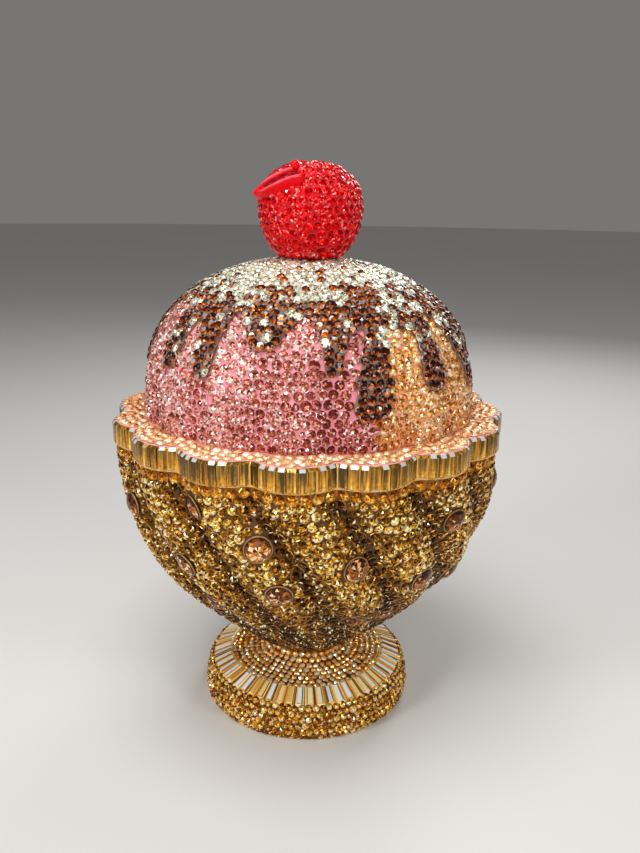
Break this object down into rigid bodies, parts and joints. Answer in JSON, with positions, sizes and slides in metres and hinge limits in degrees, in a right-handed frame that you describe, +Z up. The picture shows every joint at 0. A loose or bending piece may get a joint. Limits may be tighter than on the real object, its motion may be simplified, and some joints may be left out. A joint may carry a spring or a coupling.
{
  "type": "ice cream sundae ornament",
  "caption": "Jewelled decorative ice cream sundae: footed bowl with twisted lobes and a scalloped rim, a two-colour scoop under chocolate syrup, and a cherry on top.",
  "frame": {"origin": "middle of the flat underside of the foot", "axes": "+Z up through the cherry, -Y towards the viewer, +X to the viewer's right"},
  "size_m": [0.1206, 0.1206, 0.1722],
  "materials": {
    "gold_stones": "faceted topaz glass, close set",
    "long_stones": "faceted pale topaz glass",
    "brown_stones": "faceted smoked topaz glass",
    "amber_stones": "faceted amber glass, close set",
    "peach_stones": "faceted peach glass in peach clay",
    "strawberry_stones": "faceted rose glass in pink clay",
    "syrup_stones": "faceted dark brown and clear glass",
    "red_stones": "faceted red glass in red clay",
    "red_enamel": "glossy enamel"
  },
  "bodies": {
    "root": {"foot": "gold_stones", "foot_baguettes": "long_stones", "bowl": "gold_stones", "bowl_stone_01": "brown_stones", "bowl_stone_02": "brown_stones", "bowl_stone_03": "brown_stones", "bowl_stone_04": "brown_stones", "bowl_stone_05": "brown_stones", "bowl_stone_06": "brown_stones", "bowl_stone_07": "brown_stones", "bowl_stone_08": "brown_stones", "bowl_stone_09": "brown_stones", "bowl_stone_10": "brown_stones", "bowl_stone_11": "brown_stones", "bowl_stone_12": "brown_stones", "bowl_stone_13": "brown_stones", "bowl_stone_14": "brown_stones", "bowl_stone_15": "brown_stones", "bowl_stone_16": "brown_stones", "bowl_stone_17": "brown_stones", "bowl_stone_18": "brown_stones", "bowl_stone_19": "brown_stones", "rim_collar": "amber_stones", "rim_baguettes": "long_stones", "rim_tray": "peach_stones", "strawberry_scoop": "strawberry_stones", "peach_scoop": "peach_stones", "chocolate_syrup": "syrup_stones", "cherry": "red_stones", "cherry_leaf": "red_enamel"}
  },
  "joints": []
}
